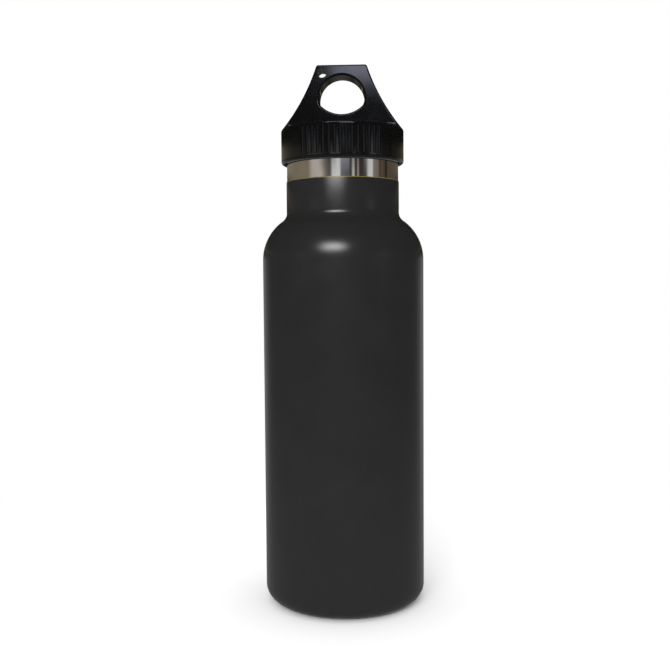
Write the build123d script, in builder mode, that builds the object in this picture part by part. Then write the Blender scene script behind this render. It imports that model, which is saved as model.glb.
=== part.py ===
from build123d import *

import os
from math import acos, degrees, hypot, radians, sin

# Double-walled, vacuum-insulated water bottle with a screw-in loop cap.
# The bottle stands on the XY plane with its axis on Z. The flat faces of the loop look along Y,
# so the finger hole and the lanyard hole run through the cap along Y.
# Each sub-part is a closed solid in its place, in millimetres, written to parts/ under its own name.

os.makedirs("parts", exist_ok=True)

# ---------------------------------------------------------------- bottle, over its coating
body_diameter = 73.6
neck_diameter = 50.8  # the bare steel neck
rim_height = 211.0  # mouth of the bottle above the surface it stands on
neck_length = 32.4  # straight neck, from the end of the shoulder to the rim
bare_neck = 18.4  # uncoated top of the neck, under the rim
shoulder_radius = 21.7
neck_fillet = 4.7
base_corner_radius = 7.3
coat_thickness = 0.3
coat_wrap = 85  # degrees of the base corner that the coating follows

# ---------------------------------------------------------------- walls and the vacuum between
shell_wall = 0.5
liner_wall = 0.5
vacuum_gap = 2.4
neck_gap = 0.4
liner_neck_ease = 2.3  # the liner turns into its neck by this much larger a radius
lip_height = 0.8
lip_rounding = 0.35
liner_seam = 24.0  # height of the weld between the liner and its bottom
liner_floor = 10.0  # inside floor of the bottle
liner_corner_radius = 8.0
foil_thickness = 0.1
foil_margin = 3.0  # bare liner above and below the foil

# ---------------------------------------------------------------- base
foot_drop = 0.5  # standing ring, below the end of the base corner
foot_width = 2.2
foot_slope = 0.6  # run of the ring's two slanted sides
recess_depth = 3.0
dimple_radius = 6.0
dimple_depth = 1.6
vent_radius = 0.8
bead_radius = 2.6
bead_height = 1.1
base_disc_thickness = 0.4
base_disc_clearance = 0.3
getter_radius = 4.0
getter_height = 2.0
getter_chamfer = 0.3
getter_offset = 16.0  # from the bottle's axis
clip_sheet = 0.3
clip_tab_width = 5.0
clip_tab_length = 4.0
clip_rim_height = 1.2

# ---------------------------------------------------------------- thread between liner and plug
thread_pitch = 5.0
thread_depth = 1.6
thread_foot_width = 2.0
thread_crest_width = 0.8
thread_clearance = 0.5  # radial, from crest to root
thread_flank_gap = 0.24  # along the axis
thread_sink = 0.2  # how far a thread's foot goes into its wall
liner_thread_turns = 1.25
plug_thread_turns = 1.5
liner_thread_drop = 11.5  # lower end of the liner's thread, below the rim

# ---------------------------------------------------------------- plug, gasket and cap
plug_wall = 2.0
plug_depth = 14.5  # below the rim
plug_tip_radius = 1.2
plug_flange = 1.1
collar_step = 1.0  # the collar that the gasket goes on, beyond the thread's root
collar_height = 1.2  # below the rim
gasket_height = 1.6
gasket_rounding = 0.4
gasket_clearance = 0.12
seal_gap = 0.1  # above and below the gasket
foam_clearance = 0.2
skirt_wall = 2.0
skirt_clearance = 0.5
skirt_overlap = 10.6  # how far the skirt hangs below the rim
skirt_foot_radius = 1.4
skirt_lead_in = 0.5
crown_thickness = 2.4
crown_edge_radius = 1.3

# ---------------------------------------------------------------- grip grooves, front and back
groove_pitch = 5.625  # degrees, 64 to the full turn
grooves_per_panel = 15
panel_turn = 2.8  # degrees from the loop's faces to the middles of the panels
groove_width = 1.5
groove_depth = 0.65
groove_low_margin = 2.1  # plain band under the grooves
groove_high_margin = 1.4  # from the grooves to the top of the crown

# ---------------------------------------------------------------- carry loop
loop_height = 28.1  # above the crown
loop_top_width = 22.5
loop_top_thickness = 12.4
loop_foot_thickness = 13.6
loop_foot_drop = 1.6  # where the flanks reach the skirt, below the top of the crown
flank_radius = 90.0
flank_foot_radius = 1.8
loop_corner_radius = 1.2
loop_edge_radius = 0.8
loop_root_radius = 2.0  # where the flat faces meet the crown
finger_hole_radius = 10.2
finger_hole_drop = 4.6  # from the top of the loop to the hole
finger_hole_height = 17.3
finger_floor_radius = 13.6
finger_corner_radius = 3.0
finger_edge_radius = 0.9
lanyard_hole_radius = 2.2
lanyard_drop = 3.5  # from the top of the loop to the hole's centre
lanyard_inset = 2.4  # from the end of the loop's top to the hole's centre

# ---------------------------------------------------------------- sizes worked out from the above
body_radius = body_diameter / 2
neck_radius = neck_diameter / 2
coated_neck = neck_radius + coat_thickness
shell_radius = body_radius - coat_thickness
shell_bore = shell_radius - shell_wall
neck_bore = neck_radius - shell_wall
liner_radius = shell_bore - vacuum_gap
liner_bore = liner_radius - liner_wall
liner_neck = neck_bore - neck_gap
mouth_radius = liner_neck - liner_wall
lip_seat = rim_height - lip_height

shoulder_reach = shoulder_radius + neck_fillet
shoulder_turn = acos(1 - (body_radius - coated_neck) / shoulder_reach)
shoulder_start = rim_height - neck_length - shoulder_reach * sin(shoulder_turn)

corner_radius = base_corner_radius - coat_thickness
corner_x = body_radius - base_corner_radius
corner_z = corner_radius + foot_drop
foot_outer = corner_x - foot_slope
foot_inner = foot_outer - foot_width
recess_radius = foot_inner - foot_slope
recess_floor = recess_depth + shell_wall
dimple_floor = recess_depth + dimple_depth

plug_crest = mouth_radius - thread_clearance
plug_root = plug_crest - thread_depth
plug_bore = plug_root - plug_wall
plug_collar = plug_root + collar_step
plug_bottom = rim_height - plug_depth
plug_floor = plug_bottom + plug_wall
gasket_bottom = rim_height + seal_gap
flange_bottom = gasket_bottom + gasket_height + seal_gap
crown_bottom = flange_bottom + plug_flange
crown_top = crown_bottom + crown_thickness
skirt_bore = neck_radius + skirt_clearance
skirt_radius = skirt_bore + skirt_wall
skirt_bottom = rim_height - skirt_overlap
loop_top = crown_top + loop_height


def wall_line(body, neck, convex, concave, low, high):
    """One face of a bottle wall, from low on the body, over the shoulder, to high on the neck."""
    turn = degrees(acos(1 - (body - neck) / (convex + concave)))
    shoulder_end = shoulder_start + (convex + concave) * sin(radians(turn))
    Line((body, low), (body, shoulder_start))
    CenterArc((body - convex, shoulder_start), convex, 0, turn)
    CenterArc((neck + concave, shoulder_end), concave, 180 + turn, -turn)
    Line((neck, shoulder_end), (neck, high))


def outside_line(inset, low, high):
    """The coated bottle's outside, moved into the wall by inset."""
    convex = shoulder_radius - inset
    wall_line(body_radius - inset, coated_neck - inset, convex, neck_fillet + inset, low, high)


def liner_line(inset, low, high):
    """The liner's outside, moved into the wall by inset."""
    convex = shoulder_radius - (body_radius - liner_radius) - inset
    concave = neck_fillet + liner_neck_ease + inset
    wall_line(liner_radius - inset, liner_neck - inset, convex, concave, low, high)


def thread_ridge(radius, low, turns, side):
    """A helical ridge on a wall of this radius, pointing outward (side 1) or inward (side -1)."""
    path = Helix(
        pitch=thread_pitch, height=thread_pitch * turns, radius=radius, center=(0, 0, low), mode=Mode.PRIVATE
    )
    with BuildSketch(Plane(origin=path @ 0, x_dir=(1, 0, 0), z_dir=path % 0)) as section:
        with BuildLine():
            Polyline(
                (-side * thread_sink, -thread_foot_width / 2),
                (0, -thread_foot_width / 2),
                (side * thread_depth, -thread_crest_width / 2),
                (side * thread_depth, thread_crest_width / 2),
                (0, thread_foot_width / 2),
                (-side * thread_sink, thread_foot_width / 2),
                close=True,
            )
        make_face()
    sweep(section.sketch, path=path, is_frenet=True)


# ================================================================ bottle
with BuildPart() as outer_shell:
    with BuildSketch(Plane.XZ):
        with BuildLine():
            outside_line(coat_thickness, corner_z, lip_seat)
            outside_line(coat_thickness + shell_wall, corner_z, lip_seat)
            Line((shell_radius, corner_z), (shell_bore, corner_z))
            Line((neck_radius, lip_seat), (neck_bore, lip_seat))
        make_face()
    revolve(axis=Axis.Z)

with BuildPart() as coating:
    coat_top = rim_height - bare_neck
    with BuildSketch(Plane.XZ):
        with BuildLine():
            outside_line(0, corner_z, coat_top)
            outside_line(coat_thickness, corner_z, coat_top)
            Line((coated_neck, coat_top), (neck_radius, coat_top))
            outside = CenterArc((corner_x, corner_z), base_corner_radius, 0, -coat_wrap)
            inside = CenterArc((corner_x, corner_z), corner_radius, 0, -coat_wrap)
            Line(outside @ 1, inside @ 1)
        make_face()
    revolve(axis=Axis.Z)

with BuildPart() as base_cup:
    with BuildSketch(Plane.XZ):
        with BuildLine():
            CenterArc((corner_x, corner_z), corner_radius, 0, -90)
            Polyline(
                (corner_x, foot_drop),
                (foot_outer, 0),
                (foot_inner, 0),
                (recess_radius, foot_slope),
                (recess_radius, recess_depth),
                (dimple_radius, recess_depth),
                (dimple_radius - dimple_depth, dimple_floor),
                (vent_radius, dimple_floor),
                (vent_radius, dimple_floor + shell_wall),
                (dimple_radius - dimple_depth, dimple_floor + shell_wall),
                (dimple_radius, recess_floor),
                (recess_radius + shell_wall, recess_floor),
                (recess_radius + shell_wall, foot_slope + shell_wall),
                (foot_inner, shell_wall),
                (foot_outer, shell_wall),
                (corner_x, foot_drop + shell_wall),
            )
            CenterArc((corner_x, corner_z), corner_radius - shell_wall, 0, -90)
            Line((shell_bore, corner_z), (shell_radius, corner_z))
        make_face()
    revolve(axis=Axis.Z)

with BuildPart() as base_disc:
    with BuildSketch(Plane.XY.offset(recess_depth)):
        Circle(recess_radius - base_disc_clearance)
    extrude(amount=-base_disc_thickness)
    fillet(base_disc.edges().sort_by(Axis.Z)[0], base_disc_thickness / 2)

with BuildPart() as vacuum_seal:
    with BuildSketch(Plane.XZ):
        with BuildLine():
            Polyline((0, dimple_floor - bead_height), (0, dimple_floor), (bead_radius, dimple_floor))
            RadiusArc(
                (bead_radius, dimple_floor),
                (0, dimple_floor - bead_height),
                (bead_radius**2 + bead_height**2) / (2 * bead_height),
            )
        make_face()
    revolve(axis=Axis.Z)

with BuildPart() as getter_clip:
    with BuildSketch(Plane.XY.offset(recess_floor)):
        with Locations((getter_offset, 0)):
            Circle(getter_radius + clip_sheet)
            Rectangle(2 * (getter_radius + clip_tab_length), clip_tab_width)
    extrude(amount=clip_sheet)
    with BuildSketch(Plane.XY.offset(recess_floor)):
        with Locations((getter_offset, 0)):
            Circle(getter_radius + clip_sheet)
            Circle(getter_radius, mode=Mode.SUBTRACT)
    extrude(amount=clip_rim_height)

with BuildPart() as getter_tablet:
    with BuildSketch(Plane.XY.offset(recess_floor + clip_sheet)):
        with Locations((getter_offset, 0)):
            Circle(getter_radius)
    extrude(amount=getter_height)
    chamfer(getter_tablet.edges().sort_by(Axis.Z)[-1], getter_chamfer)

with BuildPart() as inner_liner:
    with BuildSketch(Plane.XZ):
        with BuildLine():
            liner_line(0, liner_seam, lip_seat)
            liner_line(liner_wall, liner_seam, rim_height)
            Line((liner_radius, liner_seam), (liner_bore, liner_seam))
            Polyline(
                (liner_neck, lip_seat),
                (neck_radius, lip_seat),
                (neck_radius, rim_height),
                (mouth_radius, rim_height),
            )
        make_face()
    revolve(axis=Axis.Z)
    fillet(inner_liner.edges().group_by(Axis.Z)[-1], lip_rounding)
    thread_ridge(mouth_radius, rim_height - liner_thread_drop, liner_thread_turns, side=-1)

with BuildPart() as liner_bottom:
    with BuildSketch(Plane.XZ):
        with BuildLine():
            FilletPolyline(
                (0, liner_floor - liner_wall),
                (liner_radius, liner_floor - liner_wall),
                (liner_radius, liner_seam),
                radius=liner_corner_radius,
            )
            FilletPolyline(
                (0, liner_floor),
                (liner_bore, liner_floor),
                (liner_bore, liner_seam),
                radius=liner_corner_radius - liner_wall,
            )
            Line((0, liner_floor - liner_wall), (0, liner_floor))
            Line((liner_radius, liner_seam), (liner_bore, liner_seam))
        make_face()
    revolve(axis=Axis.Z)

with BuildPart() as foil_wrap:
    foil_bottom = liner_seam + foil_margin
    with BuildSketch(Plane.XY.offset(foil_bottom)):
        Circle(liner_radius + foil_thickness)
        Circle(liner_radius, mode=Mode.SUBTRACT)
    extrude(amount=shoulder_start - foil_margin - foil_bottom)

# ================================================================ lid
with BuildPart() as gasket:
    with BuildSketch(Plane.XY.offset(gasket_bottom)):
        Circle(neck_radius)
        Circle(plug_collar + gasket_clearance, mode=Mode.SUBTRACT)
    extrude(amount=gasket_height)
    fillet(gasket.edges(), gasket_rounding)

with BuildPart() as lid_plug:
    with BuildSketch(Plane.XZ):
        with BuildLine():
            Polyline(
                (0, plug_bottom),
                (plug_root, plug_bottom),
                (plug_root, rim_height - collar_height - collar_step),
                (plug_collar, rim_height - collar_height),
                (plug_collar, flange_bottom),
                (neck_radius, flange_bottom),
                (neck_radius, crown_bottom),
                (plug_bore, crown_bottom),
                (plug_bore, plug_floor),
                (0, plug_floor),
                close=True,
            )
        make_face()
    revolve(axis=Axis.Z)
    fillet(lid_plug.edges().group_by(Axis.Z)[0], plug_tip_radius)
    flank_to_flank = (thread_foot_width + thread_crest_width) / 2 + thread_flank_gap
    thread_ridge(plug_root, rim_height - liner_thread_drop - flank_to_flank, plug_thread_turns, side=1)

with BuildPart() as plug_foam:
    with BuildSketch(Plane.XY.offset(plug_floor)):
        Circle(plug_bore - foam_clearance)
    extrude(amount=crown_bottom - plug_floor - foam_clearance)

with BuildPart() as carry_loop:
    flank_foot = crown_top - loop_foot_drop
    top_half = loop_top_width / 2
    with BuildSketch(Plane.XZ):
        with BuildLine():
            Line((-top_half, loop_top), (top_half, loop_top))
            RadiusArc((top_half, loop_top), (skirt_radius, flank_foot), -flank_radius)
            RadiusArc((-top_half, loop_top), (-skirt_radius, flank_foot), flank_radius)
            Polyline(
                (skirt_radius, flank_foot),
                (skirt_radius, crown_bottom),
                (-skirt_radius, crown_bottom),
                (-skirt_radius, flank_foot),
            )
        make_face()
    extrude(amount=loop_foot_thickness / 2, both=True)
    with BuildSketch(Plane.YZ):
        with BuildLine():
            Polyline(
                (loop_foot_thickness / 2, crown_bottom),
                (loop_top_thickness / 2, loop_top),
                (-loop_top_thickness / 2, loop_top),
                (-loop_foot_thickness / 2, crown_bottom),
                close=True,
            )
        make_face()
    extrude(amount=skirt_radius, both=True, mode=Mode.INTERSECT)
    with BuildSketch(Plane.XY.offset(crown_bottom)):
        Circle(skirt_radius)
    extrude(amount=crown_thickness + loop_height, mode=Mode.INTERSECT)
    fillet(carry_loop.edges().filter_by(GeomType.BSPLINE), flank_foot_radius)
    fillet(carry_loop.edges().filter_by(Axis.Y).group_by(Axis.Z)[-1], loop_corner_radius)
    for facing in (0, -1):
        flat_face = carry_loop.faces().filter_by(GeomType.PLANE).sort_by(Axis.Y)[facing]
        fillet(flat_face.edges().group_by(Axis.Z)[1:], loop_edge_radius)

    finger_top = loop_top - finger_hole_drop
    finger_floor = finger_top - finger_hole_height
    lanyard_x = lanyard_inset - top_half
    lanyard_reach = hypot(lanyard_x, finger_hole_drop + finger_hole_radius - lanyard_drop)
    lanyard_wall = lanyard_reach - finger_hole_radius - lanyard_hole_radius
    with BuildSketch(Plane.XZ):
        with Locations((0, finger_top - finger_hole_radius)):
            Circle(finger_hole_radius)
        with Locations((0, finger_floor + finger_floor_radius)):
            Circle(finger_floor_radius, mode=Mode.INTERSECT)
    extrude(amount=loop_foot_thickness, both=True, mode=Mode.SUBTRACT)
    fillet(carry_loop.edges(Select.LAST).filter_by(Axis.Y), finger_corner_radius)
    with BuildSketch(Plane.XZ):
        with Locations((lanyard_x, loop_top - lanyard_drop)):
            Circle(lanyard_hole_radius)
    extrude(amount=loop_foot_thickness, both=True, mode=Mode.SUBTRACT)
    for facing in (0, -1):
        flat_face = carry_loop.faces().filter_by(GeomType.PLANE).sort_by(Axis.Y)[facing]
        finger_rim = flat_face.inner_wires().sort_by(SortBy.LENGTH)[-1]
        fillet(finger_rim.edges(), min(finger_edge_radius, lanyard_wall / 2))

with BuildPart() as lid_cap:
    with BuildSketch(Plane.XZ):
        with BuildLine():
            Polyline(
                (0, crown_bottom),
                (skirt_bore, crown_bottom),
                (skirt_bore, skirt_bottom),
                (skirt_radius, skirt_bottom),
                (skirt_radius, crown_top),
                (0, crown_top),
                close=True,
            )
        make_face()
    revolve(axis=Axis.Z)
    bore_edge, foot_edge = lid_cap.edges().group_by(Axis.Z)[0].sort_by(SortBy.RADIUS)
    chamfer(bore_edge, skirt_lead_in)
    fillet(foot_edge, skirt_foot_radius)
    fillet(lid_cap.edges().group_by(Axis.Z)[-1], crown_edge_radius)

    panel_angle = groove_pitch * (grooves_per_panel - 1)
    groove_bottom = skirt_bottom + groove_low_margin
    groove_radius = (groove_width**2 / 4 + groove_depth**2) / (2 * groove_depth)
    groove_axis = skirt_radius - groove_depth + groove_radius
    with BuildSketch(Plane.XY.offset(groove_bottom)):
        for facing in (-90, 90):
            panel_start = facing + panel_turn - panel_angle / 2
            with PolarLocations(groove_axis, grooves_per_panel, panel_start, panel_angle):
                Circle(groove_radius)
    extrude(amount=crown_top - groove_high_margin - groove_bottom, mode=Mode.SUBTRACT)

    add(carry_loop.part)
    at_crown = (crown_top - crown_edge_radius / 2, crown_top + crown_edge_radius / 2)
    fillet(lid_cap.edges().filter_by(Axis.X).filter_by_position(Axis.Z, *at_crown), loop_root_radius)

pieces = {
    "outer_shell": outer_shell,
    "coating": coating,
    "base_cup": base_cup,
    "base_disc": base_disc,
    "vacuum_seal": vacuum_seal,
    "getter_clip": getter_clip,
    "getter_tablet": getter_tablet,
    "inner_liner": inner_liner,
    "liner_bottom": liner_bottom,
    "foil_wrap": foil_wrap,
    "gasket": gasket,
    "lid_plug": lid_plug,
    "plug_foam": plug_foam,
    "lid_cap": lid_cap,
}
for name, piece in pieces.items():
    piece.part.label = name
    export_step(piece.part, f"parts/{name}.step")
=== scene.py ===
from math import acos, atan2, cos, degrees, pi, radians, remainder, sin, tan

import bpy
from mathutils import Matrix, Vector


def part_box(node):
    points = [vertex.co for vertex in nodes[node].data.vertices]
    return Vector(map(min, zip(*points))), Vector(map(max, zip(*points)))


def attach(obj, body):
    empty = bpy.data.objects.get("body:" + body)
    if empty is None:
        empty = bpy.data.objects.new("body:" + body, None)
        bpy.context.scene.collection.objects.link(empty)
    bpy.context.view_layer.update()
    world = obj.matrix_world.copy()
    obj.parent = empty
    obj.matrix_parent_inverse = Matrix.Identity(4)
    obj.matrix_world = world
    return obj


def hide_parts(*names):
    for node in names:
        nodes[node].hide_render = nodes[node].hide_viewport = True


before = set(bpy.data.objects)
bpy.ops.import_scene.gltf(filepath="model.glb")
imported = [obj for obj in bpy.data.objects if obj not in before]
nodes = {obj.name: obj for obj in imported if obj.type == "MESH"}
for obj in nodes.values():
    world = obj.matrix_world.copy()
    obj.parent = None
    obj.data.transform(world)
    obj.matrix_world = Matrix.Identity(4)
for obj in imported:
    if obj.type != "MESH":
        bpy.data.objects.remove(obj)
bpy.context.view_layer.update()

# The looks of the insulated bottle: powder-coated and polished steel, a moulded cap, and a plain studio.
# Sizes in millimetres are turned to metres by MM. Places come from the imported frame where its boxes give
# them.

MM = 0.001
UP = Vector((0, 0, 1))

# Sizes that the frame's boxes give, in millimetres
body_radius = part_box("coating")[1].x / MM
shell_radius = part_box("outer_shell")[1].x / MM
coat_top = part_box("coating")[1].z / MM
neck_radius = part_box("gasket")[1].x / MM
rim_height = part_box("inner_liner")[1].z / MM
lip_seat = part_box("outer_shell")[1].z / MM
corner_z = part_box("base_cup")[1].z / MM
disc_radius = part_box("base_disc")[1].x / MM
disc_bottom, disc_top = (corner.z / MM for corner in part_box("base_disc"))
gasket_bottom, gasket_top = (corner.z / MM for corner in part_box("gasket"))
coat_thickness = body_radius - shell_radius

# Sizes inside those boxes, in millimetres, the same as in the design
sheet_wall = 0.5
shoulder_radius = 21.7
neck_fillet = 4.7
neck_length = 32.4
base_corner_radius = 7.3
foot_width = 2.2
foot_slope = 0.6
recess_depth = 3.0
dimple_radius = 6.0
dimple_depth = 1.6
vent_radius = 0.8
gasket_bore = 23.02
# How far the coat wraps under the base's corner, in degrees
coat_wrap = 85


# ---------------------------------------------------------------- making shapes
def arc(centre, radius, start, turn, steps):
    """Points (radius from the axis, height) on an arc, from start through turn degrees."""
    angles = [radians(start + turn * i / steps) for i in range(steps + 1)]
    return [(centre[0] + radius * cos(a), centre[1] + radius * sin(a)) for a in angles]


def rounded(corners, steps=5):
    """A closed outline through corners of (radius, height, rounding)."""
    points = []
    for before, corner, after in zip(corners[-1:] + corners[:-1], corners, corners[1:] + corners[:1]):
        here, rounding = Vector(corner[:2]), corner[2]
        if not rounding:
            points.append(tuple(here))
            continue
        back, on = (Vector(before[:2]) - here).normalized(), (Vector(after[:2]) - here).normalized()
        half = back.angle(on) / 2
        centre = here + (back + on).normalized() * rounding / sin(half)
        first, last = here + back * rounding / tan(half) - centre, here + on * rounding / tan(half) - centre
        start = atan2(first.y, first.x)
        turn = remainder(atan2(last.y, last.x) - start, 2 * pi)
        points += arc(centre, rounding, degrees(start), degrees(turn), steps)
    return points


def lathe(outline, steps=256):
    """Spins a closed outline, in millimetres, round the bottle's axis."""
    bpy.ops.object.select_all(action="DESELECT")
    start = outline[0]
    bpy.ops.mesh.primitive_plane_add(size=MM, location=(start[0] * MM, 0, start[1] * MM))
    bpy.ops.object.mode_set(mode="EDIT")
    bpy.ops.mesh.merge(type="CENTER")
    for here, there in zip(outline, outline[1:] + outline[:1]):
        move = ((there[0] - here[0]) * MM, 0, (there[1] - here[1]) * MM)
        bpy.ops.mesh.extrude_vertices_move(TRANSFORM_OT_translate={"value": move})
    bpy.ops.mesh.select_all(action="SELECT")
    bpy.ops.mesh.remove_doubles(threshold=0.001 * MM)
    bpy.ops.mesh.spin(steps=steps, angle=2 * pi, center=(0, 0, 0), axis=UP)
    bpy.ops.mesh.select_all(action="SELECT")
    bpy.ops.mesh.remove_doubles(threshold=0.001 * MM)
    bpy.ops.mesh.normals_make_consistent(inside=False)
    bpy.ops.object.mode_set(mode="OBJECT")
    return bpy.context.active_object


def finish_piece(piece, name, material, body, node):
    """Names a piece, puts its place in its mesh, smooths its shading and tells the frame what it is."""
    piece.name = piece.data.name = name
    bpy.ops.object.transform_apply(location=True, rotation=True, scale=True)
    bpy.ops.object.shade_smooth_by_angle(angle=radians(40))
    piece.data.materials.append(material)
    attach(piece, body)
    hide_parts(node)


# ---------------------------------------------------------------- materials
def linear(code):
    """An sRGB hex colour as linear red, green, blue and alpha."""
    parts = [int(code[i : i + 2], 16) / 255 for i in (1, 3, 5)]
    return tuple(c / 12.92 if c <= 0.04045 else ((c + 0.055) / 1.055) ** 2.4 for c in parts) + (1.0,)


def add(tree, kind, settings=None, links=None):
    """Adds one node: settings are its properties and socket values, links its incoming sockets."""
    node = tree.nodes.new(kind)
    for key, value in (settings or {}).items():
        if isinstance(key, str) and hasattr(node, key):
            setattr(node, key, value)
        else:
            node.inputs[key].default_value = value
    for key, source in (links or {}).items():
        tree.links.new(source, node.inputs[key])
    return node


def per_metre(size_mm):
    """The texture scale that makes a pattern's features this many millimetres apart."""
    return 1 / (size_mm * MM)


def finish(name, shades, rough, grain_mm, height_mm, cloud_mm, stretch=(1, 1, 1), **shader_values):
    """A surface with a fine grain that stands height_mm proud, and soft clouds of shade and roughness.

    shades and rough are each a pair, from the darker and smoother places to the others.
    """
    material = bpy.data.materials.new(name)
    material.use_nodes = True
    tree = material.node_tree
    tree.nodes.clear()
    values = {key.replace("_", " "): value for key, value in shader_values.items()}
    shader = add(tree, "ShaderNodeBsdfPrincipled", values)
    add(tree, "ShaderNodeOutputMaterial", links={"Surface": shader.outputs[0]})
    place = add(tree, "ShaderNodeTexCoord").outputs["Object"]
    drawn = add(tree, "ShaderNodeMapping", {"Scale": stretch}, {"Vector": place}).outputs[0]
    grain = add(tree, "ShaderNodeTexNoise", {"Scale": per_metre(grain_mm), "Detail": 2.0}, {"Vector": drawn})
    cloud = add(tree, "ShaderNodeTexNoise", {"Scale": per_metre(cloud_mm), "Detail": 3.0}, {"Vector": place})
    shade = add(
        tree,
        "ShaderNodeMix",
        {"data_type": "RGBA", 6: linear(shades[0]), 7: linear(shades[1])},
        {0: cloud.outputs[0]},
    )
    tree.links.new(shade.outputs[2], shader.inputs["Base Color"])
    gloss = add(
        tree,
        "ShaderNodeMapRange",
        {"From Min": 0.3, "From Max": 0.7, "To Min": rough[0], "To Max": rough[1]},
        {"Value": cloud.outputs[0]},
    )
    tree.links.new(gloss.outputs[0], shader.inputs["Roughness"])
    bump = add(tree, "ShaderNodeBump", {"Distance": height_mm * MM}, {"Height": grain.outputs[0]})
    tree.links.new(bump.outputs[0], shader.inputs["Normal"])
    return material


def powder_coat():
    """Polyester powder coat, charcoal, sprayed and baked: matte, with the fine pebble of melted powder.

    Its pebble is about 0.1 mm across and is drawn at 0.8 mm to show. Its top 0.35 mm, up to the edge by the
    neck, is coloured olive.
    """
    material = finish(
        "charcoal_powder_coat", ("#1e1e1e", "#222223"), (0.2, 0.25), 0.8, 0.012, 14, IOR=1.5
    )
    tree = material.node_tree
    shader = next(n for n in tree.nodes if n.type == "BSDF_PRINCIPLED")
    shade = shader.inputs["Base Color"].links[0].from_socket
    place = next(n for n in tree.nodes if n.type == "TEX_COORD").outputs["Object"]
    height = add(tree, "ShaderNodeSeparateXYZ", links={0: place}).outputs["Z"]
    # The top 0.35 mm of the coat, up to its edge by the neck, is coloured olive
    olive_band = 0.35
    edge = add(
        tree,
        "ShaderNodeMapRange",
        {"From Min": (coat_top - olive_band) * MM, "From Max": (coat_top - olive_band + 0.05) * MM},
        {"Value": height},
    )
    olive_topped = add(
        tree, "ShaderNodeMix", {"data_type": "RGBA", 7: linear("#6c6428")}, {0: edge.outputs[0], 6: shade}
    )
    tree.links.new(olive_topped.outputs[2], shader.inputs["Base Color"])
    return material


# Drawn 304 stainless, mop polished while it turns: a mirror with hair-fine marks round the neck.
# The marks are under 0.05 mm apart and are drawn at 0.25 mm to show.
POLISHED = finish(
    "polished_stainless", ("#c3c1bd", "#c9c6c1"), (0.05, 0.09), 0.25, 0.0002, 9, (0.02, 0.02, 1), Metallic=1.0
)
# The same sheet left satin under the base, where a wire wheel went round it: a wide, soft glint.
SATIN = finish(
    "satin_stainless", ("#aeaca8", "#b7b5b1"), (0.26, 0.34), 0.3, 0.0015, 7, (0.03, 0.03, 1), Metallic=1.0
)
# Electropolished 304 inside: bright and watery, with the faint orange peel that the bath leaves.
LINER = finish("electropolished_stainless", ("#b8b6b2", "#c2c0bc"), (0.14, 0.2), 2.5, 0.004, 11, Metallic=1.0)
# Injection-moulded polypropylene, black: a waxy satin from the mould's fine spark grain, 0.1 mm
# across and drawn at 0.3 mm, with slow flow clouds in its gloss.
CAP = finish("satin_black_polypropylene", ("#090909", "#0c0c0b"), (0.07, 0.1), 0.3, 0.0004, 6, IOR=1.49)
# The same plastic in the stopper, a little greyer and duller, as a hidden face of the mould leaves it.
PLUG = finish("matte_grey_polypropylene", ("#19191a", "#1e1e1f"), (0.36, 0.46), 0.35, 0.002, 8, IOR=1.49)
# Pressed food-grade silicone: milky, soft and slightly see-through, and it takes lint and dulls.
SILICONE = finish(
    "milky_silicone", ("#c4c4be", "#d2d2cc"), (0.45, 0.6), 0.4, 0.002, 5,
    IOR=1.41, Subsurface_Weight=0.3, Subsurface_Scale=0.002,
)
# Expanded polyethylene foam: white, dull, with closed cells about 0.8 mm across.
FOAM = finish("closed_cell_foam", ("#dcdcd6", "#efefe9"), (0.8, 0.95), 0.8, 0.08, 4)
# Soft rolled copper foil, wrapped by hand: bright, with creases a few millimetres apart.
FOIL = finish("bright_copper_foil", ("#c07a50", "#d6946a"), (0.16, 0.3), 4.0, 0.12, 12, Metallic=1.0)
# Nickel braze that flowed and froze in the vacuum furnace: a dull grey skin with a rippled face.
BRAZE = finish("nickel_braze", ("#6e6b66", "#807c76"), (0.35, 0.5), 0.6, 0.02, 2, Metallic=1.0)
# Sintered getter metal: a pressed grey powder, dull and pitted at 0.3 mm.
GETTER = finish("sintered_getter", ("#4a4a4c", "#5d5d5f"), (0.6, 0.75), 0.3, 0.03, 2, Metallic=1.0)


# ---------------------------------------------------------------- bottle
def outside(inset, low, high):
    """The coated bottle's outside from low to high, moved into the wall by inset."""
    body, neck = body_radius - inset, neck_radius + coat_thickness - inset
    convex, concave = shoulder_radius - inset, neck_fillet + inset
    turn = acos(1 - (body - neck) / (convex + concave))
    shoulder_end = rim_height - neck_length
    start = shoulder_end - (convex + concave) * sin(turn)
    turned = degrees(turn)
    points = [(body, low)]
    points += arc((body - convex, start), convex, 0, turned, 28)
    points += arc((neck + concave, shoulder_end), concave, 180 + turned, -turned, 12)[1:]
    return points + [(neck, high)]


def make_coat():
    """The coating, with the soft edge that the paint keeps where its mask was peeled off."""
    centre = (body_radius - base_corner_radius, corner_z)
    edge = coat_thickness / 2
    skin = arc(centre, base_corner_radius, -coat_wrap, coat_wrap, 18)[:-1]
    skin += outside(0, corner_z, coat_top - edge)
    skin += arc((neck_radius + edge, coat_top - edge), edge, 0, 180, 6)[1:-1]
    back = outside(coat_thickness, corner_z, coat_top - edge)[::-1]
    back += arc(centre, base_corner_radius - coat_thickness, 0, -coat_wrap, 18)[1:]
    finish_piece(lathe(skin + back), "coat", powder_coat(), "bottle", "coating")


def make_shell():
    """The outer wall, its top edge turned in a little where it is welded to the lip."""
    turned_edge = 0.15
    outer = outside(coat_thickness, corner_z, lip_seat - turned_edge)
    inner = outside(coat_thickness + sheet_wall, corner_z, lip_seat)
    outline = outer + [(neck_radius - turned_edge, lip_seat)] + inner[::-1]
    finish_piece(lathe(outline), "shell", POLISHED, "bottle", "outer_shell")


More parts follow.
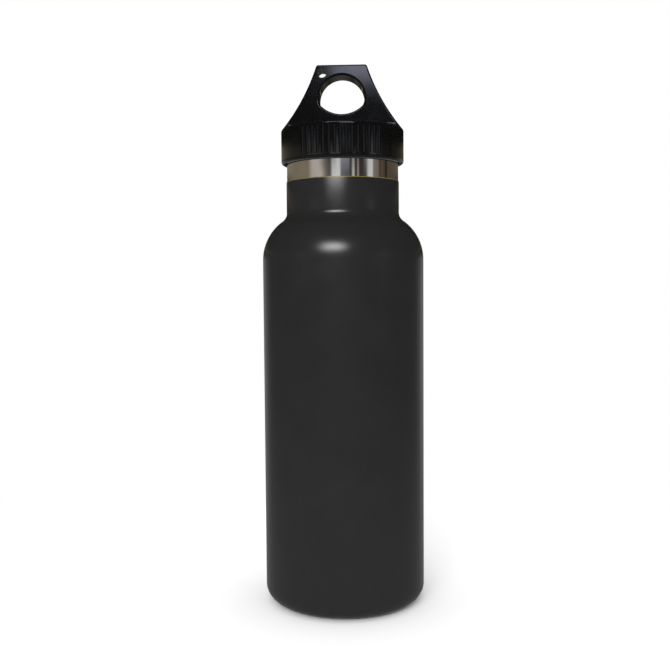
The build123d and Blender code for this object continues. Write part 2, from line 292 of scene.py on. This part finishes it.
def make_base():
    """The pressed base: standing ring, recess and the dimple round the vent, every fold with its radius."""
    reach = base_corner_radius - coat_thickness
    corner_x, foot = body_radius - base_corner_radius, corner_z - reach
    ring_out = corner_x - foot_slope
    ring_in = ring_out - foot_width
    recess = ring_in - foot_slope
    recess_in, recess_top = recess + sheet_wall, recess_depth + sheet_wall
    dimple_in = dimple_radius - dimple_depth
    vent = recess_depth + dimple_depth
    vent_top = vent + sheet_wall
    outline = arc((corner_x, corner_z), reach, 0, -90, 18)
    folds = [
        (corner_x, foot, 0), (ring_out, 0, 0.35), (ring_in, 0, 0.35), (recess, foot_slope, 0.3),
        (recess, recess_depth, 0.45), (dimple_radius, recess_depth, 0.6), (dimple_in, vent, 0.5),
        (vent_radius, vent, 0.1), (vent_radius, vent_top, 0.1), (dimple_in, vent_top, 0.4),
        (dimple_radius, recess_top, 0.4), (recess_in, recess_top, 0.2),
        (recess_in, foot_slope + sheet_wall, 0.1), (ring_in, sheet_wall, 0.1), (ring_out, sheet_wall, 0.1),
        (corner_x, foot + sheet_wall, 0),
    ]
    outline += rounded(folds)[1:]
    outline += arc((corner_x, corner_z), reach - sheet_wall, -90, 90, 18)[1:]
    finish_piece(lathe(outline), "base", SATIN, "bottle", "base_cup")


def make_disc():
    """The cover disc, coined from below with a shallow ring so that it stays flat."""
    ring_out, ring_in, flank, fold = 19.2, 15.8, 0.4, 0.4
    ring_floor = disc_bottom + 0.15
    outline = rounded([
        (0, disc_top, 0), (disc_radius, disc_top, 0.05), (disc_radius, disc_bottom, 0.18),
        (ring_out, disc_bottom, fold), (ring_out - flank, ring_floor, fold),
        (ring_in + flank, ring_floor, fold), (ring_in, disc_bottom, fold), (0, disc_bottom, 0),
    ])
    finish_piece(lathe(outline), "disc", SATIN, "bottle", "base_disc")


def make_gasket():
    """The seal ring, with a fine moulded groove round its outside."""
    middle = (gasket_bottom + gasket_top) / 2
    half_groove, groove_depth, crease = 0.25, 0.2, 0.1
    inner_edge, outer_edge = 0.4, 0.35
    outline = rounded([
        (gasket_bore, gasket_bottom, inner_edge), (neck_radius, gasket_bottom, outer_edge),
        (neck_radius, middle - half_groove, crease), (neck_radius - groove_depth, middle, crease),
        (neck_radius, middle + half_groove, crease), (neck_radius, gasket_top, outer_edge),
        (gasket_bore, gasket_top, inner_edge),
    ])
    finish_piece(lathe(outline), "seal", SILICONE, "seal_ring", "gasket")


def dress(node, material):
    """Gives a node of the frame its material."""
    nodes[node].data.materials.clear()
    nodes[node].data.materials.append(material)


# ---------------------------------------------------------------- studio
def make_camera():
    """Stands 0.42 m off at 147 mm, looking a little down, round to the right, and tipped by a hair."""
    distance, height, aside = 416.1 * MM, 147 * MM, -4.0 * MM
    turn, pitch, roll = radians(2.4), radians(3.39), radians(-0.41)
    data = bpy.data.cameras.new("camera")
    data.lens = 48.3
    camera = bpy.data.objects.new("camera", data)
    bpy.context.scene.collection.objects.link(camera)
    across, back = Vector((cos(turn), sin(turn), 0)), Vector((sin(turn), -cos(turn), 0))
    camera.location = back * distance + across * aside + UP * height
    tip = Matrix.Rotation(pi / 2 - pitch, 3, "X") @ Matrix.Rotation(roll, 3, "Z")
    camera.rotation_euler = (Matrix.Rotation(turn, 3, "Z") @ tip).to_euler()
    bpy.context.scene.camera = camera


def make_floor():
    """White paper that takes a soft shadow near the bottle and burns out to white further off."""
    paper_size, fade_start, fade_end = 8, 0.06, 0.3
    bpy.ops.object.select_all(action="DESELECT")
    bpy.ops.mesh.primitive_plane_add(size=paper_size)
    floor = bpy.context.active_object
    floor.name = "floor"
    material = bpy.data.materials.new("white_paper")
    material.use_nodes = True
    tree = material.node_tree
    tree.nodes.clear()
    place = add(tree, "ShaderNodeTexCoord").outputs["Object"]
    away = add(tree, "ShaderNodeVectorMath", {"operation": "LENGTH"}, {0: place})
    fade = add(
        tree,
        "ShaderNodeMapRange",
        {"interpolation_type": "SMOOTHSTEP", "From Min": fade_start, "From Max": fade_end},
        {"Value": away.outputs["Value"]},
    )
    paper = add(tree, "ShaderNodeBsdfDiffuse", {"Color": linear("#fdfdfd")})
    burnt = add(tree, "ShaderNodeEmission", {"Color": (1, 1, 1, 1), "Strength": 1.0})
    both = add(
        tree, "ShaderNodeMixShader", links={0: fade.outputs[0], 1: paper.outputs[0], 2: burnt.outputs[0]}
    )
    add(tree, "ShaderNodeOutputMaterial", links={"Surface": both.outputs[0]})
    floor.data.materials.append(material)
    floor.visible_glossy = False


# What a mirror on the bottle's axis sees level with it: (degrees to the right of the front, shade)
CARDS = [
    (-180, "#8a8270"), (-72, "#9a8f7c"), (-62, "#d6ccc2"), (-43, "#e6dcd6"),
    (-34, "#a29890"), (-26, "#6c6666"), (-22, "#7c7c80"), (-19, "#ffffff"), (-4, "#ffffff"), (-1, "#706e72"),
    (8, "#56555a"), (20, "#524e4a"), (22, "#e8e4e0"), (25, "#e8e4e0"), (27, "#504c4a"), (31, "#504c4a"),
    (32, "#c0b6b0"), (34, "#c0b6b0"), (36, "#483c3a"), (51, "#584e4c"), (56, "#ffffff"), (65, "#ffffff"),
    (67, "#9c948e"), (80, "#8e8478"), (83, "#564c42"), (88, "#6a6050"), (98, "#585048"), (101, "#2c2418"),
    (103, "#2c2418"), (107, "#64584a"), (180, "#706a58"),
]
# What it sees below that: a dim room, a glow to each side behind, and dark straight behind
ROOM = [
    (-180, "#28281e"), (-169, "#28281e"), (-160, "#a8a8a8"), (-150, "#a0a0a0"), (-125, "#505050"),
    (-90, "#38383a"), (0, "#3c3c3e"), (90, "#38383a"), (125, "#505050"), (150, "#a0a0a0"), (160, "#a8a8a8"),
    (169, "#28281e"), (180, "#28281e"),
]
# What it sees above that: the same room without the glow
UPPER = [
    (-180, "#28281e"), (-120, "#2c2c2a"), (-90, "#343436"), (0, "#3c3c3e"), (90, "#343436"), (120, "#2c2c2a"),
    (180, "#28281e"),
]
# What the cap sees level with it: three cool strips
STRIPS = [
    (-180, "#101010"), (-74, "#101010"), (-66, "#b0b8c8"), (-50, "#b0b8c8"), (-44, "#2c2e32"),
    (-14, "#2c2e32"), (-10, "#c0c8d8"), (14, "#c0c8d8"), (18, "#2c2e32"), (44, "#2c2e32"), (50, "#b0b8c8"),
    (66, "#b0b8c8"), (74, "#101010"), (180, "#101010"),
]
# Between which heights each takes over, as the upward part of a direction of length 1
UPPER_START = (0.03, 0.07)
CARDS_START = (0.112, 0.124)
STRIPS_START = (0.145, 0.15)
STRIPS_END = (0.169, 0.177)
# The floor's grey takes over from the room downwards
FLOOR_START = (-0.1, -0.34)
FLOOR_GREY = "#808080"
# Cards round the set at the height of the bottle, which show in the steel from level sides:
# (degrees to the right of the front, width in metres, radiance)
LOW_CARDS = [
    (-13, 0.4, 0.9), (24, 0.1, 0.7), (60, 0.24, 0.9), (-55, 0.5, 0.55), (110, 0.5, 0.25), (180, 0.9, 0.3),
    (-110, 0.6, 0.3),
]
LAMP_DISTANCE = 1.2


def ramp(tree, stops, source):
    """A colour ramp over the whole turn, from stops of (degrees, colour)."""
    node = add(tree, "ShaderNodeValToRGB", links={0: source})
    elements = node.color_ramp.elements
    elements.remove(elements[0])
    for i, (angle, code) in enumerate(stops):
        place = angle / 360 + 0.5
        stop = elements[0] if i == 0 else elements.new(place)
        stop.position = place
        stop.color = linear(code)
    return node.outputs[0]


def make_world():
    """Even white light, and a ring of cards and flags that only gloss and metal show."""
    world = bpy.data.worlds.new("studio")
    bpy.context.scene.world = world
    world.use_nodes = True
    tree = world.node_tree
    tree.nodes.clear()
    path = add(tree, "ShaderNodeLightPath")
    view = add(tree, "ShaderNodeTexCoord").outputs["Generated"]
    split = add(tree, "ShaderNodeSeparateXYZ", links={0: view})
    up = split.outputs["Z"]
    front = add(tree, "ShaderNodeMath", {"operation": "MULTIPLY", 1: -1.0}, {0: split.outputs["Y"]})
    angle = add(
        tree, "ShaderNodeMath", {"operation": "ARCTAN2"}, {0: split.outputs["X"], 1: front.outputs[0]}
    )
    turn = add(
        tree, "ShaderNodeMath", {"operation": "MULTIPLY_ADD", 1: 1 / (2 * pi), 2: 0.5}, {0: angle.outputs[0]}
    ).outputs[0]
    level = add(tree, "ShaderNodeValToRGB", links={0: up})
    stops = level.color_ramp.elements
    stops[0].position, stops[1].position = CARDS_START
    stops.new(STRIPS_END[0]).color, stops.new(STRIPS_END[1]).color = (1, 1, 1, 1), (0, 0, 0, 1)
    tall, above, below = (
        add(tree, "ShaderNodeMapRange", {"From Min": start, "From Max": end}, {"Value": up})
        for start, end in (STRIPS_START, UPPER_START, FLOOR_START)
    )
    cards = add(
        tree, "ShaderNodeMix", {"data_type": "RGBA"},
        {0: tall.outputs[0], 6: ramp(tree, CARDS, turn), 7: ramp(tree, STRIPS, turn)},
    )
    room = add(
        tree, "ShaderNodeMix", {"data_type": "RGBA"},
        {0: above.outputs[0], 6: ramp(tree, ROOM, turn), 7: ramp(tree, UPPER, turn)},
    )
    room = add(
        tree, "ShaderNodeMix", {"data_type": "RGBA", 7: linear(FLOOR_GREY)},
        {0: below.outputs[0], 6: room.outputs[2]},
    )
    gloss = add(
        tree, "ShaderNodeMix", {"data_type": "RGBA"},
        {0: level.outputs[0], 6: room.outputs[2], 7: cards.outputs[2]},
    )
    shine = add(
        tree, "ShaderNodeMix", {"data_type": "RGBA", 6: (1, 1, 1, 1)},
        {0: path.outputs["Is Glossy Ray"], 7: gloss.outputs[2]},
    )
    light = add(tree, "ShaderNodeBackground", {"Strength": 1.0}, {"Color": shine.outputs[2]})
    add(tree, "ShaderNodeOutputWorld", links={"Surface": light.outputs[0]})
    world.cycles.sampling_method = "NONE"


def hang(name, data):
    """Adds a lamp to the set, out of the camera's sight."""
    lamp = bpy.data.objects.new(name, data)
    lamp.visible_camera = False
    bpy.context.scene.collection.objects.link(lamp)
    return lamp


def make_softbox(name, height, azimuth, elevation, size, radiance, tint="#ffffff", spread=180):
    """A softbox that faces the bottle's axis at height (in millimetres), from azimuth and elevation.

    Azimuth is in degrees to the right of the front, elevation in degrees up, and size in metres. A spread
    under 180 degrees is a grid on its front, which fades it away from its middle.
    """
    target = Vector((0, 0, height * MM))
    turn, rise = radians(azimuth), radians(elevation)
    away = Vector((sin(turn) * cos(rise), -cos(turn) * cos(rise), sin(rise)))
    data = bpy.data.lights.new(name, "AREA")
    data.shape = "RECTANGLE"
    data.size, data.size_y = size
    data.energy = radiance * pi * size[0] * size[1]
    data.color = linear(tint)[:3]
    data.spread = radians(spread)
    lamp = hang(name, data)
    lamp.location = target + away * LAMP_DISTANCE
    lamp.rotation_euler = away.to_track_quat("Z", "Y").to_euler()
    return lamp


def make_bounce(name, height, size, radiance, facing):
    """A level bounce card at height over the whole set, for steel seen from other sides.

    Height and size are in metres, and facing is 0 for down or pi for up.
    """
    data = bpy.data.lights.new(name, "AREA")
    data.size = size
    data.energy = radiance * pi * size**2
    lamp = hang(name, data)
    lamp.location.z = height
    lamp.rotation_euler.x = facing
    return lamp


def light_only(name, pieces, state, lamps):
    """Lets lamps light only these pieces (INCLUDE), or everything but them (EXCLUDE)."""
    group = bpy.data.collections.new(name)
    for piece in pieces:
        group.objects.link(piece)
    for member in group.collection_objects:
        member.light_linking.link_state = state
    for lamp in lamps:
        lamp.light_linking.receiver_collection = group


bpy.context.scene.view_settings.view_transform = "Standard"
make_coat()
make_shell()
make_base()
make_disc()
make_gasket()
for node, material in {
    "inner_liner": LINER, "liner_bottom": LINER, "getter_clip": LINER, "foil_wrap": FOIL,
    "vacuum_seal": BRAZE, "getter_tablet": GETTER, "lid_cap": CAP, "lid_plug": PLUG, "plug_foam": FOAM,
}.items():
    dress(node, material)
make_camera()
make_floor()
make_world()
lid_cards = [
    make_softbox("loop_card", 235, 10.2, 20.1, (0.53, 0.22), 4.8, "#dfe6ff"),
    make_softbox("crown_card", 215, -4, 46, (0.8, 0.4), 2.6, "#f0f2ff"),
]
keys = [
    make_softbox("key_softbox", 160, azimuth, 28, (0.6, 0.6), 0.17, spread=26) for azimuth in (-23, -13, -3)
]
steel_lamps = [
    make_bounce("floor_bounce", 0.0005, 3.0, 0.5, pi),
    make_bounce("ceiling_bounce", 1.3, 2.4, 0.7, 0),
]
steel_lamps += [
    make_softbox("steel_card", 150, azimuth, 0, (width, 0.3), radiance)
    for azimuth, width, radiance in LOW_CARDS
]
cap = [nodes["lid_cap"]]
steel = [bpy.data.objects[piece] for piece in ("shell", "base", "disc")]
steel += [nodes["inner_liner"], nodes["liner_bottom"]]
light_only("cap_only", cap, "INCLUDE", lid_cards)
light_only("all_but_cap", cap, "EXCLUDE", keys)
light_only("steel_only", steel, "INCLUDE", steel_lamps)
